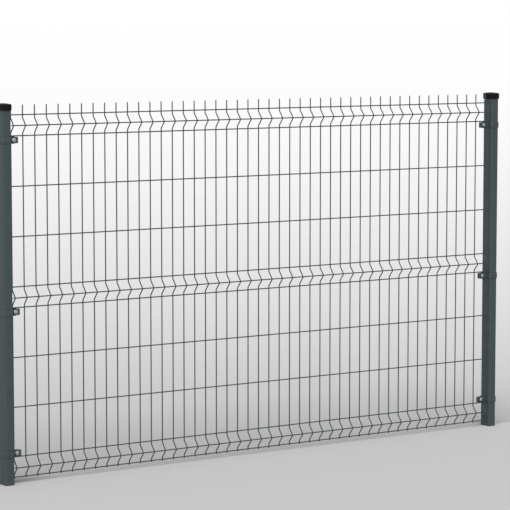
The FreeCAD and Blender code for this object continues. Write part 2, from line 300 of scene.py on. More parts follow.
@dataclass(frozen=True)
class Route:
    """Flat path of straight runs joined by tangent arcs.

    Attributes:
        points: places along the path.
        headings: unit directions of travel at those places.
    """

    points: np.ndarray
    headings: np.ndarray

    @staticmethod
    def through(corners: Sequence[tuple[float, float]], radii: Sequence[float],
                steps: int) -> "Route":
        """Path through corners that are each rounded by an arc.

        An arc of radius r in a corner that turns by angle a touches the runs at r times
        tan(a / 2) from the corner. Its points are its centre plus r times the outward unit
        vector, turned evenly from the first touch to the second.

        Args:
            corners: where the straight runs would meet, with both ends of the path.
            radii: one radius for each corner between the ends.
            steps: number of chords in each arc.

        Returns:
            The path.
        """
        places = np.array(corners, float)
        runs = np.diff(places, axis=0)
        runs /= np.linalg.norm(runs, axis=1, keepdims=True)
        points, headings = [places[:1]], [runs[:1]]
        for corner, radius, before, after in zip(places[1:-1], radii, runs, runs[1:]):
            turn = math.atan2(before[0] * after[1] - before[1] * after[0], before @ after)
            angles = np.linspace(0, turn, steps + 1)
            left = np.array([-before[1], before[0]]) * math.copysign(1, turn)
            touch = corner - before * radius * math.tan(abs(turn) / 2)
            centre = touch + left * radius
            cosine, sine = np.cos(angles)[:, None], np.sin(angles)[:, None]
            across = np.array([-before[1], before[0]])
            headings.append(before * cosine + across * sine)
            outward = -left * cosine + before * math.copysign(1, turn) * sine
            points.append(centre + outward * radius)
        return Route(np.concatenate([*points, places[-1:]]),
                     np.concatenate([*headings, runs[-1:]]))

    def rows(self) -> tuple[np.ndarray, np.ndarray]:
        """Points and headings."""
        return self.points, self.headings

    def distances(self) -> np.ndarray:
        """Length of the path up to each of its points."""
        steps = np.linalg.norm(np.diff(self.points, axis=0), axis=1)
        return np.concatenate([[0], np.cumsum(steps)])

    def with_end_rows(self, distances: np.ndarray) -> "Route":
        """Same path with places at some distances from both ends in place of the end points.

        Args:
            distances: rising distances from an end, all within its straight run.

        Returns:
            The finer path.
        """
        counts = np.ones(len(self.points), int)
        counts[[0, -1]] = len(distances)
        first = self.points[0] + distances[:, None] * self.headings[0]
        last = self.points[-1] - distances[::-1, None] * self.headings[-1]
        return Route(np.concatenate([first, self.points[1:-1], last]),
                     np.repeat(self.headings, counts, axis=0))


def display_colour(red: float, green: float, blue: float) -> tuple[float, float, float, float]:
    """Linear colour of a colour that is given as it shows on a screen, from 0 to 255.

    A share s becomes s / 12.92 in the darks, and otherwise (s + 0.055) / 1.055 to the power 2.4.

    Args:
        red: red share.
        green: green share.
        blue: blue share.

    Returns:
        Linear red, green, blue and an opacity of one.
    """
    shares = np.array([red, green, blue]) / 255
    linear = np.where(shares <= 0.04045, shares / 12.92, ((shares + 0.055) / 1.055) ** 2.4)
    return (*(float(share) for share in linear), 1.0)


class Socket:
    """Output of a shader node that takes part in Python expressions."""

    def __init__(self, graph: "Graph", link: bpy.types.NodeSocket) -> None:
        """Keeps the output and the graph that it belongs to."""
        self.graph = graph
        self.link = link

    def _maths(self, operation: str, first: Operand, second: Operand) -> "Socket":
        """Math node on two values or outputs."""
        return self.graph.node("ShaderNodeMath", {"operation": operation},
                               {0: first, 1: second})

    def __add__(self, other: Operand) -> "Socket":
        """Sum."""
        return self._maths("ADD", self, other)

    def __radd__(self, other: Operand) -> "Socket":
        """Sum with a plain number on the left."""
        return self._maths("ADD", other, self)

    def __sub__(self, other: Operand) -> "Socket":
        """Difference."""
        return self._maths("SUBTRACT", self, other)

    def __rsub__(self, other: Operand) -> "Socket":
        """Difference from a plain number."""
        return self._maths("SUBTRACT", other, self)

    def __mul__(self, other: Operand) -> "Socket":
        """Product."""
        return self._maths("MULTIPLY", self, other)

    def __rmul__(self, other: Operand) -> "Socket":
        """Product with a plain number on the left."""
        return self._maths("MULTIPLY", other, self)

    def __truediv__(self, other: Operand) -> "Socket":
        """Quotient."""
        return self._maths("DIVIDE", self, other)

    def __rtruediv__(self, other: Operand) -> "Socket":
        """Quotient of a plain number."""
        return self._maths("DIVIDE", other, self)

    def __pow__(self, other: Operand) -> "Socket":
        """Power."""
        return self._maths("POWER", self, other)

    def larger(self, other: Operand) -> "Socket":
        """Larger of two values."""
        return self._maths("MAXIMUM", self, other)

    def share(self) -> "Socket":
        """Value held between zero and one."""
        return self._maths("MINIMUM", self.larger(0.0), 1.0)

    def beside(self, output: str) -> "Socket":
        """Another output of the same node."""
        return Socket(self.graph, self.link.node.outputs[output])


class Graph:
    """Node tree of a material or of the world."""

    def __init__(self, owner: bpy.types.ID) -> None:
        """Empties the node tree of its owner.

        Args:
            owner: a new material or world.
        """
        self.owner = owner
        owner.use_nodes = True
        self.tree = owner.node_tree
        self.tree.nodes.clear()

    @classmethod
    def of_material(cls, name: str) -> "Graph":
        """Graph of a new material."""
        return cls(bpy.data.materials.new(name))

    def node(self, kind: str, settings: dict[str, Any], inputs: dict[str | int, Any],
             output: str | int = 0) -> Socket:
        """Adds a node.

        Args:
            kind: the node's type.
            settings: properties to set first. The stops of a ramp are given under "stops" as
                pairs of a place and a grey value.
            inputs: a value or a link for each socket, by its name or number.
            output: name or number of the output that is wanted.

        Returns:
            The wanted output.
        """
        made = self.tree.nodes.new(kind)
        for key, value in settings.items():
            if key == "stops":
                self._fill_ramp(made.color_ramp, value)
            else:
                setattr(made, key, value)
        for key, value in inputs.items():
            if isinstance(value, Socket):
                self.tree.links.new(value.link, made.inputs[key])
            else:
                made.inputs[key].default_value = value
        return Socket(self, made.outputs[output])

    @staticmethod
    def _fill_ramp(ramp: bpy.types.ColorRamp, stops: Sequence[tuple[float, float]]) -> None:
        """Puts grey stops into a ramp that starts with two.

        Args:
            ramp: the ramp to fill.
            stops: places and grey values.
        """
        for _ in stops[2:]:
            ramp.elements.new(0.5)
        for element, (place, grey) in zip(ramp.elements, stops):
            element.position = place
            element.color = (grey, grey, grey, 1)

    def place(self) -> Socket:
        """Object coordinates."""
        return self.node("ShaderNodeTexCoord", {}, {}, "Object")

    def speckle(self, size: float, detail: float) -> Socket:
        """Noise about its middle whose patches are of one size.

        Args:
            size: width of a patch in metres.
            detail: how many finer layers are added.

        Returns:
            The noise value.
        """
        return self.node("ShaderNodeTexNoise", {},
                         {"Vector": self.place(), "Scale": 1 / size, "Detail": detail})

    def blend(self, share: Socket, first: Tone, second: Tone) -> Socket:
        """Mix of two colours that are given as they show on a screen.

        Args:
            share: share of the second colour.
            first: first colour.
            second: second colour.

        Returns:
            The mixed colour.
        """
        # The colours are sockets 6 and 7 of this node, and its mixed colour is output 2.
        return self.node("ShaderNodeMix", {"data_type": "RGBA"},
                         {"Factor": share, 6: display_colour(*first),
                          7: display_colour(*second)}, 2)

    def bump(self, height: Socket, distance: float, under: Socket | None = None) -> Socket:
        """Normal that leans with a height.

        Args:
            height: the height value.
            distance: height in metres of a value of one.
            under: normal of a coarser layer.

        Returns:
            The normal.
        """
        inputs: dict[str | int, Any] = {"Height": height, "Distance": distance}
        if under is not None:
            inputs["Normal"] = under
        return self.node("ShaderNodeBump", {}, inputs, "Normal")

    def principled(self, inputs: dict[str | int, Any]) -> bpy.types.ID:
        """Material that is one Principled shader with these inputs."""
        return self.close(self.node("ShaderNodeBsdfPrincipled", {}, inputs))

    def close(self, shader: Socket) -> bpy.types.ID:
        """Leads a shader to the output of the material or world.

        Args:
            shader: the finished shader.

        Returns:
            The material or world.
        """
        kind = "World" if isinstance(self.owner, bpy.types.World) else "Material"
        output = self.tree.nodes.new(f"ShaderNodeOutput{kind}")
        self.tree.links.new(shader.link, output.inputs["Surface"])
        return self.owner


@dataclass(frozen=True)
class PowderCoat:
    """Baked polyester powder: satin, with a fine orange peel and faint cloudiness."""

    name: str = "anthracite_powder_coat"
    deep: Tone = (50, 60, 62)
    pale: Tone = (57, 67, 69)
    cloud_size: float = 0.09
    peel_size: float = 0.0016
    peel_height: float = 0.000012
    grain_size: float = 0.0003
    grain_height: float = 0.000004
    grain_share: float = 0.2
    roughness: float = 0.44
    roughness_swing: float = 0.12
    index: float = 1.5
    gloss: float = 0.3

    def material(self) -> bpy.types.ID:
        """Shader of the coat.

        Returns:
            The material.
        """
        graph = Graph.of_material(self.name)
        cloud = graph.speckle(self.cloud_size, detail=3.0)
        grain = graph.speckle(self.grain_size, detail=1.0)
        peel = graph.speckle(self.peel_size, detail=2.0)
        share = cloud * (1 - self.grain_share) + grain * self.grain_share
        return graph.principled({
            "Base Color": graph.blend(share, self.deep, self.pale),
            "Roughness": self.roughness + (cloud - NOISE_MIDDLE) * self.roughness_swing,
            "Normal": graph.bump(grain, self.grain_height, graph.bump(peel, self.peel_height)),
            "IOR": self.index, "Specular IOR Level": self.gloss})


@dataclass(frozen=True)
class MouldedPlastic:
    """Black moulded plastic with the fine sparked texture of its mould."""

    name: str = "black_moulded_plastic"
    deep: Tone = (6, 6, 6)
    pale: Tone = (12, 12, 12)
    flow_size: float = 0.03
    spark_size: float = 0.0007
    spark_height: float = 0.00003
    roughness: float = 0.62
    roughness_swing: float = 0.15
    index: float = 1.46
    gloss: float = 0.13

    def material(self) -> bpy.types.ID:
        """Shader of the plastic.

        Returns:
            The material.
        """
        graph = Graph.of_material(self.name)
        flow = graph.speckle(self.flow_size, detail=4.0)
        spark = graph.speckle(self.spark_size, detail=3.0)
        return graph.principled({
            "Base Color": graph.blend(flow, self.deep, self.pale),
            "Roughness": self.roughness + (spark - NOISE_MIDDLE) * self.roughness_swing,
            "Normal": graph.bump(spark, self.spark_height),
            "IOR": self.index, "Specular IOR Level": self.gloss})


@dataclass(frozen=True)
class Rubber:
    """Dull black rubber with a slight bloom."""

    name: str = "black_rubber"
    deep: Tone = (17, 17, 17)
    pale: Tone = (34, 34, 34)
    bloom_size: float = 0.006
    grain_size: float = 0.0004
    grain_height: float = 0.00004
    roughness: float = 0.82
    roughness_swing: float = 0.1
    index: float = 1.5

    def material(self) -> bpy.types.ID:
        """Shader of the rubber.

        Returns:
            The material.
        """
        graph = Graph.of_material(self.name)
        bloom = graph.speckle(self.bloom_size, detail=5.0)
        grain = graph.speckle(self.grain_size, detail=2.0)
        return graph.principled({
            "Base Color": graph.blend(bloom ** 2, self.deep, self.pale),
            "Roughness": self.roughness - bloom * self.roughness_swing,
            "Normal": graph.bump(grain, self.grain_height), "IOR": self.index})


@dataclass(frozen=True)
class ZincPlate:
    """Bright zinc plating: clear metal with small hazy patches and drawing marks."""

    name: str = "bright_zinc"
    deep: Tone = (136, 139, 141)
    pale: Tone = (184, 187, 188)
    haze_size: float = 0.003
    scratch_size: float = 0.0005
    scratch_height: float = 0.00001
    roughness: float = 0.34
    roughness_swing: float = 0.14

    def material(self) -> bpy.types.ID:
        """Shader of the plating.

        Returns:
            The material.
        """
        graph = Graph.of_material(self.name)
        haze = graph.speckle(self.haze_size, detail=4.0)
        scratch = graph.speckle(self.scratch_size, detail=2.0)
        return graph.principled({
            "Base Color": graph.blend(haze, self.deep, self.pale), "Metallic": 1.0,
            "Roughness": self.roughness + haze * self.roughness_swing,
            "Normal": graph.bump(scratch, self.scratch_height)})


@dataclass
class Workshop:
    """Turns shapes into finished pieces with one shared material for each finish."""

    materials: dict[Slot, bpy.types.ID] = field(default_factory=dict)

    def __post_init__(self) -> None:
        """Makes each finish once."""
        for slot, finish in ((Slot.COAT, PowderCoat()), (Slot.PLASTIC, MouldedPlastic()),
                             (Slot.RUBBER, Rubber()), (Slot.ZINC, ZincPlate())):
            self.materials[slot] = finish.material()

    def piece(self, name: str, shape: Surface, slot: Slot, nodes: Sequence[str],
              crease: float = 35.0) -> None:
        """Makes one piece that stands for some nodes of the frame.

        Args:
            name: name of the piece.
            shape: its closed shape, in place.
            slot: material slot of its finish.
            nodes: nodes that it stands for.
            crease: edges that turn by more degrees than this stay sharp.
        """
        mesh = mesh_of(name, shape)
        mesh.materials.append(self.materials[slot])
        mesh.set_sharp_from_angle(angle=math.radians(crease))
        made = bpy.data.objects.new(name, mesh)
        bpy.context.scene.collection.objects.link(made)
        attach(made, BODY)
        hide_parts(*nodes)
        LOG.info("%s: %d triangles", name, 2 * len(shape.quads) + len(shape.triangles))


def mesh_of(name: str, shape: Surface) -> bpy.types.Mesh:
    """Mesh of a shape, with smooth faces.

    Args:
        name: name of the mesh.
        shape: points, quads and triangles.

    Returns:
        The mesh.
    """
    corners = np.concatenate([shape.quads.ravel(), shape.triangles.ravel()]).astype(np.int32)
    sizes = np.repeat([4, 3], [len(shape.quads), len(shape.triangles)]).astype(np.int32)
    starts = np.concatenate([[0], np.cumsum(sizes)[:-1]]).astype(np.int32)
    mesh = bpy.data.meshes.new(name)
    mesh.vertices.add(len(shape.points))
    mesh.vertices.foreach_set("co", shape.points.astype(np.float32).ravel())
    mesh.loops.add(len(corners))
    mesh.loops.foreach_set("vertex_index", corners)
    mesh.polygons.add(len(sizes))
    mesh.polygons.foreach_set("loop_start", starts)
    mesh.polygons.foreach_set("use_smooth", np.ones(len(sizes), bool))
    mesh.update(calc_edges=True)
    mesh.validate()
    return mesh


@dataclass
class PostTube:
    """Rectangular tube post that stands on its cut end."""

    side: Side
    wall: float = 0.002
    cut_edge: float = 0.0004

    def build(self, shop: Workshop) -> None:
        """Makes the tube.

        Args:
            shop: makes the piece.
        """
        node = f"post_{self.side.value}"
        tube = open_tube(*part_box(node), self.wall, POST_CORNER, self.cut_edge)
        shop.piece(node + "_tube", tube, Slot.COAT, [node])


@dataclass
class PostCap:
    """Moulded cap that slips over the tube, with a soft rim and a crowned top."""

    side: Side
    corner: float = 0.008
    rim: float = 0.0012
    lip: float = 0.0008
    plate: float = 0.004
    crown: float = 0.0042
    crown_shares: tuple[float, float] = (0.92, 0.04)
    crown_rings: int = 9
    overhang: float = 0.0042
    rim_rings: int = 7

    def build(self, shop: Workshop) -> None:
        """Outline carried from the ceiling down the socket, round the lip and up to the top.

        The rim is a quarter circle of inset and height. On the crowned top the outline
        shrinks in even shares while its height rises by the crown times one minus the square
        of the share.

        Args:
            shop: makes the piece.
        """
        node = f"cap_{self.side.value}"
        low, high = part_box(node)
        size = (high.x - low.x, high.y - low.y)
        inner = (size[0] - 2 * self.overhang, size[1] - 2 * self.overhang)
        ceiling = high.z - self.plate - self.crown / 2
        socket = level_rings(inner, POST_CORNER, [0, 0], [ceiling, low.z + self.lip],
                             CORNER_STEPS)
        foot = level_rings(size, self.corner, [self.lip, 0], [low.z, low.z + self.lip],
                           CORNER_STEPS)
        angle = np.linspace(0, math.pi / 2, self.rim_rings)
        rim_height = high.z - self.crown - self.rim * (1 - np.sin(angle))
        rim = level_rings(size, self.corner, self.rim * (1 - np.cos(angle)), rim_height,
                          CORNER_STEPS)
        share = np.linspace(*self.crown_shares, self.crown_rings)[:, None, None]
        crown = np.broadcast_to(rim[-1], (len(share), *rim.shape[1:])).copy()
        crown[..., :2] *= share
        crown[..., 2] += self.crown * (1 - share[..., 0] ** 2)
        cap = carried(np.concatenate([socket, foot, rim, crown]))
        shop.piece(node + "_moulding", cap.moved((low.x + high.x) / 2, (low.y + high.y) / 2),
                   Slot.PLASTIC, [node])


@dataclass
class MeshPanel:
    """Folded panel of round upright wires, with rails welded behind them."""

    wire: float = 0.005
    wires_per_half: int = 23
    rail_stub: float = 0.0065
    rail_gap: float = 0.206
    bottom_rail: float = 0.025
    foot: float = 0.005
    spike: float = 0.041
    folds: int = 3
    singles: int = 2
    fold_height: float = 0.0854
    fold_vertex: float = 0.0265
    fold_lead: float = 0.0117
    fold_apex: float = 0.0247
    bend: float = 0.0054
    bend_steps: int = 6
    set_down: float = 0.00025
    round_sides: int = 12
    # Places of the rings at a cut end, as shares of the wire, and shares of the radius there.
    end_places: tuple[float, ...] = (0.0, 0.05, 0.16)
    end_radii: tuple[float, ...] = (0.72, 0.93, 1.0)
    # Half width and half depth of a bead, as shares of the wire.
    bead_spread: float = 0.66
    bead_depth: float = 0.34
    bead_latitude: float = 70.0
    bead_rings: int = 5
    bead_sides: int = 8

    @property
    def period(self) -> float:
        """Height from one fold to the next."""
        return self.fold_height + (self.singles + 1) * self.rail_gap

    def wire_places(self) -> np.ndarray:
        """X of every upright wire, from the left to the right.

        Returns:
            Array of places.
        """
        low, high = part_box("mesh_left")[0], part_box("mesh_right")[1]
        first, last = low.x + self.rail_stub, high.x - self.rail_stub
        return np.linspace(first, last, 2 * self.wires_per_half)

    def rail_places(self) -> np.ndarray:
        """Y and Z of every rail's centre line, from the bottom up.

        Returns:
            Array of rail and coordinate.
        """
        behind = SETBACK + self.wire - self.set_down
        places = []
        for fold in range(self.folds):
            low = self.bottom_rail + fold * self.period
            places += [(behind, low), (behind - self.fold_apex, low + self.fold_height / 2),
                       (behind, low + self.fold_height)]
            if fold < self.folds - 1:
                places += [(behind, low + self.fold_height + step * self.rail_gap)
                           for step in range(1, self.singles + 1)]
        return np.array(places)

    def build(self, shop: Workshop) -> None:
        """Makes the wires, the rails and the weld beads.

        Args:
            shop: makes the pieces.
        """
        wires = self.wire_places()
        rails = self.rail_places()
        upright = self._upright()
        for half, places in (("left", wires[:self.wires_per_half]),
                             ("right", wires[self.wires_per_half:])):
            shifts = np.zeros((len(places), 3))
            shifts[:, 0] = places
            shop.piece(f"upright_wires_{half}", upright.repeated(shifts), Slot.COAT,
                       [f"mesh_{half}"])
        shifts = np.concatenate([np.zeros((len(rails), 1)), rails], axis=1)
        rail = self._rail(wires[0] - self.rail_stub, wires[-1] + self.rail_stub)
        shop.piece("rails", rail.repeated(shifts), Slot.COAT, ["mesh_left", "mesh_right"])
        grid_x, grid_rail = np.meshgrid(wires, np.arange(len(rails)))
        crossings = np.column_stack([grid_x.ravel(), rails[grid_rail.ravel()]])
        crossings[:, 1] -= (self.wire - self.set_down) / 2
        shop.piece("weld_beads", self._bead().repeated(crossings), Slot.COAT,
                   ["mesh_left", "mesh_right"], crease=180.0)

    def _ends(self) -> tuple[np.ndarray, np.ndarray]:
        """Distances from a cut end and shares of the radius there, for a soft edge."""
        return self.wire * np.array(self.end_places), np.array(self.end_radii)

    def _upright(self) -> Surface:
        """One upright wire at X = 0.

        Its centre line is a path in Y and Z of straight runs and arcs. A ring is the centre
        plus the radius times cosine along X plus sine along the line's own normal.

        Returns:
            The wire.
        """
        base = self.bottom_rail
        corners = [(SETBACK, base - self.foot)]
        for fold in range(self.folds):
            low = base + fold * self.period
            corners += [(SETBACK, low + self.fold_lead),
                        (SETBACK - self.fold_vertex, low + self.fold_height / 2),
                        (SETBACK, low + self.fold_height - self.fold_lead)]
        top = base + (self.folds - 1) * self.period + self.fold_height + self.spike
        corners.append((SETBACK, top))
        distance, share = self._ends()
        route = Route.through(corners, [self.bend] * (len(corners) - 2), self.bend_steps)
        points, headings = route.with_end_rows(distance).rows()
        full = np.ones(len(points) - 2 * len(share))
        radius = np.concatenate([share, full, share[::-1]]) * (self.wire / 2)
        angle = circle(self.round_sides)
        normal = np.stack([headings[:, 1], -headings[:, 0]], axis=-1)
        rings = np.empty((len(points), len(angle), 3))
        rings[..., 0] = radius[:, None] * np.cos(angle)
        rings[..., 1:] = (points[:, None, :] + (radius[:, None] * np.sin(angle))[..., None]
                          * normal[:, None, :])
        return carried(rings)

    def _rail(self, start: float, end: float) -> Surface:
        """One straight rail along X, as rings of cosine along Y and sine along Z.

        Args:
            start: X of its left end.
            end: X of its right end.

        Returns:
            The rail about the X axis.
        """
        distance, share = self._ends()
        along = np.concatenate([start + distance, end - distance[::-1]])
        radius = np.concatenate([share, share[::-1]])[:, None] * self.wire / 2
        angle = circle(self.round_sides)
        rings = np.stack(np.broadcast_arrays(along[:, None], radius * np.cos(angle),
                                             radius * np.sin(angle)), axis=-1)
        return carried(rings)

    def _bead(self) -> Surface:
        """Squeezed metal of one weld under its coat, as a flattened ball.

        A ring at latitude a has radius cos(a) in X and Z and lies at sin(a) along Y.

        Returns:
            The bead about the origin.
        """
        spread, depth = self.bead_spread * self.wire, self.bead_depth * self.wire
        latitude = np.linspace(-1, 1, self.bead_rings)[:, None] * math.radians(self.bead_latitude)
        angle = circle(self.bead_sides)
        rings = np.stack(np.broadcast_arrays(spread * np.cos(latitude) * np.sin(angle),
                                             depth * np.sin(latitude),
                                             spread * np.cos(latitude) * np.cos(angle)),
                         axis=-1)
        return carried(rings)


@dataclass
class Clamp:
    """Strap round a post whose bolted ears pinch the end wire in rubber packing."""

    side: Side
    level: Level
    thickness: float = 0.003
    edge: float = 0.0007
    ear_bend: float = 0.003
    ear_corner: float = 0.002
    ear_rings: int = 7
    bend_steps: int = 8
    edge_steps: int = 3
    jaw_gap: float = 0.0045
    # Painted shade: the dark sleeve's rim, proud of the strap, stands in for the shade lines at
    # the strap's edges.
    shade_liner: float = 0.0014
    shade_liner_rim: float = 0.0007
    shade_liner_edge: float = 0.0003
    rubber_soft: float = 0.0006
    lip_height: float = 0.0019
    lip_start: float = 0.0071
    lip_bite: float = 0.0002
    washer: float = 0.0205
    washer_height: float = 0.0026
    washer_sides: int = 48
    head: float = 0.0186
    head_edge: float = 0.0004
    # Shares of a quarter turn from the top of the head to its first two rings, and the number
    # of even steps from the second one to the edge.
    head_top: float = 0.04
    head_start: float = 0.1
    head_steps: int = 12
    shank: float = 0.008
    bolt_sides: int = 36
    # Reach of the square neck's blunt corners, as a share of half the shank.
    neck_corner: float = 1.25
    thread_pitch: float = 0.00125
    thread_depth: float = 0.0005
    thread_rings: int = 6
    tip: float = 0.0006
    tip_chamfer: float = 0.0004
    tip_inset: float = 0.001
    nut_flats: float = 0.013
    nut_sides: int = 72
    # Radius of the nut's face as a share of half its flats, and the cone's rise from there.
    nut_face: float = 0.95
    nut_slope: float = 2.0
    nut_rings: tuple[float, ...] = (0.0, 0.0002, 0.0004, 0.0006, 0.0009, 0.0013)
    bore_gap: float = 0.0001
    bore_mouth: float = 0.0005

    def build(self, shop: Workshop) -> None:
        """Makes the strap with its dark sleeve, whose rim stands in for shade at the strap's
        edges, the insert, the bolt with its washer, and the nut.

        All are worked out at the left post, and mirrored for the right one.

        Args:
            shop: makes the pieces.
        """
        end = f"{self.side.value}_{self.level.value}"
        for kind, node, slot, shape in (("strap", "strap", Slot.COAT, self._strap()),
                                        ("shade_liner", "strap", Slot.RUBBER, self._shade_liner()),
                                        ("insert", "insert", Slot.RUBBER, self._insert()),
                                        ("bolt", "bolt", Slot.ZINC, self._bolt()),
                                        ("washer", "bolt", Slot.RUBBER, self._washer()),
                                        ("nut", "nut", Slot.ZINC, self._nut())):
            if self.side is Side.RIGHT:
                shape = shape.mirrored((CAD_BOX[0][0] + CAD_BOX[1][0]) / 2)
            shop.piece(f"{kind}_{end}_dressed", shape, slot, [f"{node}_{end}"])

    def _box(self, kind: str) -> tuple[Vector, Vector]:
        """Lowest and highest corner of one kind of node at the left post."""
        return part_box(f"{kind}_left_{self.level.value}")

    def _seat(self) -> float:
        """Y of the front ear's face."""
        return SETBACK - self.jaw_gap / 2 - self.thickness

    def _strap(self) -> Surface:
        """Flat bar carried from one ear round the post to the other.

        Its section is a rounded rectangle that stands on the path's normal and on Z, and
        each ear's end follows a quarter circle.

        Returns:
            The strap.
        """
        low, high = self._box("strap")
        half = self.thickness / 2
        side_x, side_y = -low.x - half, high.y - half
        front = SETBACK - self.jaw_gap / 2 - half
        rear = SETBACK + self.jaw_gap / 2 + half
        corners = [(high.x, rear), (side_x, rear), (side_x, side_y), (-side_x, side_y),
                   (-side_x, -side_y), (side_x, -side_y), (side_x, front), (high.x, front)]
        radii = [self.ear_bend, *[POST_CORNER + half] * 4, self.ear_bend]
        swing = np.linspace(0, math.pi / 2, self.ear_rings)
        route = Route.through(corners, radii, self.bend_steps)
        route = route.with_end_rows(self.ear_corner * (1 - np.cos(swing)))
        points, headings = route.rows()
        distance = route.distances()
        from_end = np.minimum(distance, distance[-1] - distance)
        missing = np.clip(self.ear_corner - from_end, 0, None)
        rounding = self.ear_corner - np.sqrt(self.ear_corner ** 2 - missing ** 2)
        section = rounded_rectangle(self.thickness, high.z - low.z - 2 * rounding, self.edge,
                                    self.edge_steps)
        normal = np.stack([-headings[:, 1], headings[:, 0]], axis=-1)
        rings = np.empty((*section.shape[:2], 3))
        rings[..., :2] = points[:, None, :] + section[..., :1] * normal[:, None, :]
        rings[..., 2] = (low.z + high.z) / 2 + section[..., 1]
        return carried(rings)

    def _shade_liner(self) -> Surface:
        """Rubber sleeve between the strap and the post, a little taller than the strap. Its dark
        rim is painted shade: it stands in for the shade lines at the strap's edges.

        Returns:
            The sleeve.
        """
        low, high = self._box("strap")
        half_x = -low.x - self.thickness + self.shade_liner
        half_y = high.y - self.thickness + self.shade_liner
        return open_tube((-half_x, -half_y, low.z - self.shade_liner_rim),
                         (half_x, half_y, high.z + self.shade_liner_rim),
                         self.shade_liner, POST_CORNER + self.shade_liner, self.shade_liner_edge)

    def _insert(self) -> Surface:
        """Rubber block that stands proud between the ears, with lips over the front one.

        Returns:
            The block and its two lips.
        """
        low, high = self._box("insert")
        front, rear = SETBACK - self.jaw_gap / 2, SETBACK + self.jaw_gap / 2
        near, far = low.x + self.lip_start, front + self.lip_bite
        lips = [soft_block((near, low.y, bottom), (high.x, far, top), self.rubber_soft)
                for bottom, top in ((low.z, low.z + self.lip_height),
                                    (high.z - self.lip_height, high.z))]
        block = soft_block((low.x, front, low.z), (high.x, rear, high.z), self.rubber_soft)
        return joined([block, *lips])

    def _turned(self, radius: np.ndarray, along: np.ndarray, kind: str) -> np.ndarray:
        """Rings about a bolt's axis, of sine along X and cosine along Z.

        Args:
            radius: array of ring and angle.
            along: Y of each ring.
            kind: kind of node that stands on the axis.

        Returns:
            Array of ring, point and coordinate.
        """
        low, high = self._box(kind)
        angle = circle(radius.shape[1])
        return np.stack(np.broadcast_arrays(radius * np.sin(angle) + (low.x + high.x) / 2,
                                            along[:, None],
                                            radius * np.cos(angle) + (low.z + high.z) / 2),
                        axis=-1)

    def _washer(self) -> Surface:
        """Rubber washer under the head, as a round edged ring turned about Y.

        Its section is a rounded rectangle of the ring's width and height.

        Returns:
            The washer.
        """
        inner, outer = self.shank / 2, self.washer / 2
        section = rounded_rectangle(outer - inner, self.washer_height, self.rubber_soft,
                                    self.edge_steps)[0]
        middle = (inner + outer) / 2
        radius = np.repeat((section[:, 0] + middle)[:, None], self.washer_sides, axis=1)
        along = section[:, 1] + self._seat() - self.washer_height / 2
        return carried(self._turned(radius, along, "bolt"), loop=True)

    def _bolt(self) -> Surface:
        """Cup head, square neck and threaded shank, as one profile turned about Y.

        The head is half an ellipse over an upright edge, with a ring at each share of the
        quarter turn. The thread is a triangle wave of the length over the pitch plus the
        angle over a turn.

        Returns:
            The bolt.
        """
        low, high = self._box("bolt")
        angle = circle(self.bolt_sides)
        half = self.shank / 2
        under = self._seat() - self.washer_height
        neck_end = self._seat() + self.thickness
        even = np.linspace(self.head_start, 1, self.head_steps + 1)
        swing = np.append(self.head_top, even) * math.pi / 2
        dome = self.head / 2 * np.append(np.sin(swing), 1.0)
        upright = under - self.head_edge
        dome_y = np.append(upright + (low.y - upright) * np.cos(swing), under)
        square = np.minimum(half / np.maximum(abs(np.cos(angle)), abs(np.sin(angle))),
                            half * self.neck_corner)
        shank_y = np.arange(neck_end, high.y - self.tip, self.thread_pitch / self.thread_rings)
        wave = (shank_y[:, None] / self.thread_pitch + angle / FULL_TURN) % 1
        thread = half - self.thread_depth * abs(2 * wave - 1)
        tip = np.array([half - self.thread_depth, half - self.tip_inset])
        radius = np.concatenate([
            np.repeat(dome[:, None], len(angle), axis=1), np.repeat(square[None], 2, axis=0),
            thread, np.repeat(tip[:, None], len(angle), axis=1)])
        along = np.concatenate([dome_y, [under, neck_end], shank_y,
                                [high.y - self.tip_chamfer, high.y]])
        return carried(self._turned(radius, along, "bolt"))

    def _nut(self) -> Surface:
        """Hexagon nut with both faces turned down, as a profile turned about Y.

        The outer radius is the lesser of the hexagon's, which is half the flats over the
        cosine of the angle from the nearest flat, and of a cone that opens from each face.

        Returns:
            The nut.
        """
        low, high = self._box("nut")
        angle = circle(self.nut_sides)
        flats = self.nut_flats / 2
        sector = FULL_TURN / 6
        hexagon = flats / np.cos((angle + sector / 2) % sector - sector / 2)
        depth = np.array(self.nut_rings)
        chamfer = np.minimum(hexagon, self.nut_face * flats + depth[:, None] * self.nut_slope)
        bore = np.full((1, len(angle)), self.shank / 2 + self.bore_gap)
        mouth = bore + self.bore_mouth
        radius = np.concatenate([bore, mouth, chamfer, chamfer[::-1], mouth, bore])
        along = np.concatenate([[low.y + self.bore_mouth, low.y], low.y + depth,
                                high.y - depth[::-1], [high.y, high.y - self.bore_mouth]])
        return carried(self._turned(radius, along, "nut"), loop=True)


@dataclass(frozen=True)
class Lamp:
    """Soft lamp, the same over the whole bay.

    Attributes:
        name: name of the lamp.
        towards: direction from the bay to the lamp.
        level: brightness that it gives a white floor.
        spread: angle that it fills in degrees, so the softness of its shadows.
    """

    name: str
    towards: tuple[float, float, float]
    level: float
    spread: float

    def build(self) -> None:
        """Makes the lamp and aims it at the bay."""
        away = np.array(self.towards) / np.linalg.norm(self.towards)
        data = bpy.data.lights.new(self.name, "SUN")
        data.angle = math.radians(self.spread)
        data.energy = self.level * math.pi / away[2]
        lamp = bpy.data.objects.new(self.name, data)
        lamp.rotation_euler = (math.acos(away[2]), 0, -math.atan2(-away[0], -away[1]))
        bpy.context.scene.collection.objects.link(lamp)


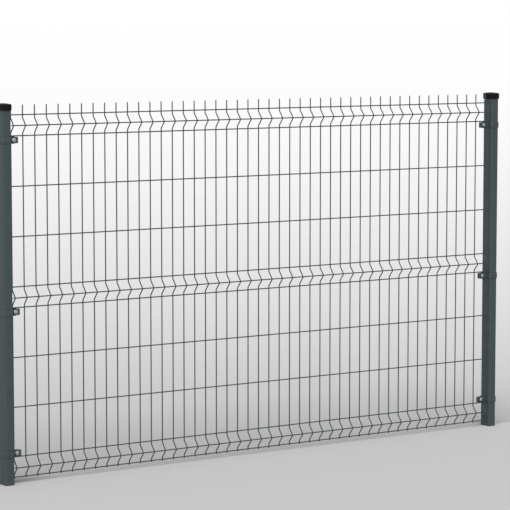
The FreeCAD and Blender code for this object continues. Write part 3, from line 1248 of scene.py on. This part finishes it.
@dataclass
class Studio:
    """Camera, pale floor with painted light and shade, and soft light."""

    # Picture and focal length are in pixels, places and reaches in metres, angles in degrees and
    # the sensor in millimetres.
    picture: int = 510
    focal_pixels: float = 2331.04
    stand: tuple[float, float, float] = (-4.3895, -8.4183, 1.9035)
    heading: float = 33.701
    dip: float = 5.777
    sensor: float = 36.0
    reach: float = 400.0
    world_level: float = 0.52
    lamps: tuple[Lamp, ...] = (Lamp("key", (-0.42, -0.66, 0.72), 0.44, 50.0),
                               Lamp("low", (-0.6, -0.78, 0.15), 0.04, 16.0))
    # Places on the floor's ramp, which are its steepness times the scale, and greys from 0 to 255.
    steepness_scale: float = 4.0
    # The ramp is painted light: it paints the floor paler with the distance from the stand.
    painted_floor_tones: tuple[tuple[float, float], ...] = (
        (0.07, 254), (0.155, 252), (0.24, 247), (0.327, 240), (0.413, 232), (0.5, 223),
        (0.587, 213), (0.63, 208), (0.675, 205), (0.72, 201))
    # Least distance ahead of the stand that the ramp tells apart.
    nearest: float = 1.0
    # Sizes and shifts of the shade that is painted on the floor behind the mesh and about the
    # posts' feet, and its depths as shares of the light.
    shade_reach: float = 1.3
    shade_edge: float = 0.01625
    shade_depth: float = 0.16
    shade_margin: float = 0.3
    shade_side: float = 0.6
    foot_shade_shift: tuple[float, float] = (0.08, 0.042)
    foot_shade_reach: tuple[float, float] = (0.2, 0.056)
    foot_shade_depths: tuple[float, float] = (0.44, 0.13)

    def build(self) -> None:
        """Makes the camera, the floor, the world and the lamps."""
        self._camera()
        self._floor()
        self._world()
        for lamp in self.lamps:
            lamp.build()

    def _camera(self) -> None:
        """Camera whose lens gives the picture's focal length in pixels."""
        data = bpy.data.cameras.new("camera")
        data.sensor_width = self.sensor
        data.lens = self.focal_pixels * self.sensor / self.picture
        data.clip_end = 2 * self.reach
        camera = bpy.data.objects.new("camera", data)
        camera.location = self.stand
        camera.rotation_euler = (math.radians(90 - self.dip), 0, math.radians(-self.heading))
        bpy.context.scene.collection.objects.link(camera)
        bpy.context.scene.camera = camera

    def _floor(self) -> None:
        """Broad level floor, whose colour carries painted light and painted shade."""
        far = self.reach
        points = np.array([(-far, -far, 0), (far, -far, 0), (far, far, 0), (-far, far, 0)])
        mesh = mesh_of("floor", Surface(points, np.array([[0, 1, 2, 3]]), NO_TRIANGLES))
        graph = Graph.of_material("pale_floor")
        mesh.materials.append(graph.principled({
            "Base Color": self._floor_colour(graph), "Roughness": 1.0,
            "Specular IOR Level": 0.0}))
        floor = bpy.data.objects.new("floor", mesh)
        bpy.context.scene.collection.objects.link(floor)

    def _floor_colour(self, graph: Graph) -> Socket:
        """Painted light and shade of the floor: a tone that pales with the distance from the
        stand, with soft painted shade by the bay.

        The tone is a ramp over the steepness of the view from the stand, which is the
        stand's height over the distance ahead of it.

        Args:
            graph: graph of the floor's material.

        Returns:
            The colour.
        """
        east = graph.node("ShaderNodeSeparateXYZ", {}, {0: graph.place()}, "X")
        north = east.beside("Y")
        turn = math.radians(self.heading)
        ahead = ((east - self.stand[0]) * math.sin(turn)
                 + (north - self.stand[1]) * math.cos(turn))
        steepness = self.stand[2] / ahead.larger(self.nearest)
        # Painted light: the ramp makes the floor paler the farther it lies from the stand.
        stops = [(place, display_colour(grey, grey, grey)[0])
                 for place, grey in self.painted_floor_tones]
        tone = graph.node("ShaderNodeValToRGB", {"stops": stops},
                          {0: steepness * self.steepness_scale})
        # Painted shade: the floor's tone is darkened behind the mesh, where the mesh would shade
        # it.
        light = self._painted_shade_behind_mesh(east, north)
        # Painted shadows of the posts darken the floor about each foot.
        for side, depth in zip(Side, self.foot_shade_depths):
            light = light * self._painted_shade_by_foot(east, north, side, depth)
        return graph.node("ShaderNodeVectorMath", {"operation": "SCALE"},
                          {0: tone, "Scale": light})

    def _painted_shade_behind_mesh(self, east: Socket, north: Socket) -> Socket:
        """Share of the light that painted shade leaves on the floor behind the mesh, a painted
        shadow of the mesh.

        The painted shade starts at a narrow edge under the mesh and fades out evenly with Y. It
        also fades out with X, past a margin beside the bay.

        Args:
            east: X on the floor.
            north: Y on the floor.

        Returns:
            The share.
        """
        first, last = CAD_BOX[0][0] - self.shade_margin, CAD_BOX[1][0] + self.shade_margin
        sideways = 1 - (first - east).larger(east - last) / self.shade_side
        fading = ((1 - north / self.shade_reach).larger(0.0)
                  * (north / self.shade_edge).share() * sideways.share())
        return 1 - self.shade_depth * fading

    def _painted_shade_by_foot(self, east: Socket, north: Socket, side: Side, depth: float) -> Socket:
        """Share of the light that painted shade leaves on the floor about one post's foot, a
        painted shadow of the post.

        The painted shade is deepest at the middle of an ellipse and gone at its edge.

        Args:
            east: X on the floor.
            north: Y on the floor.
            side: the post.
            depth: share of the light that is lost at the middle of the ellipse.

        Returns:
            The share.
        """
        low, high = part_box(f"post_{side.value}")
        across = (east - ((low.x + high.x) / 2 + self.foot_shade_shift[0])) / self.foot_shade_reach[0]
        along = (north - self.foot_shade_shift[1]) / self.foot_shade_reach[1]
        distance = (across * across + along * along) ** 0.5
        return 1 - depth * (1 - distance).larger(0.0)

    def _world(self) -> None:
        """Plain even light from all round, which looks white past the floor's far edge."""
        graph = Graph(bpy.data.worlds.new("studio"))
        camera = graph.node("ShaderNodeLightPath", {}, {}, "Is Camera Ray")
        looked_at = (camera + camera.beside("Is Glossy Ray")
                     + camera.beside("Is Transmission Ray")).share()
        level = self.world_level + looked_at * (1 - self.world_level)
        background = graph.node("ShaderNodeBackground", {},
                                {"Color": (1, 1, 1, 1), "Strength": level})
        bpy.context.scene.world = graph.close(background)


def main() -> None:
    """Builds the studio and every piece of the bay."""
    logging.basicConfig(level=logging.INFO, format="%(message)s")
    bpy.context.scene.view_settings.view_transform = "Standard"
    Studio().build()
    shop = Workshop()
    for side in Side:
        PostTube(side).build(shop)
        PostCap(side).build(shop)
    MeshPanel().build(shop)
    for side in Side:
        for level in Level:
            Clamp(side, level).build(shop)


if __name__ == "__main__":
    main()
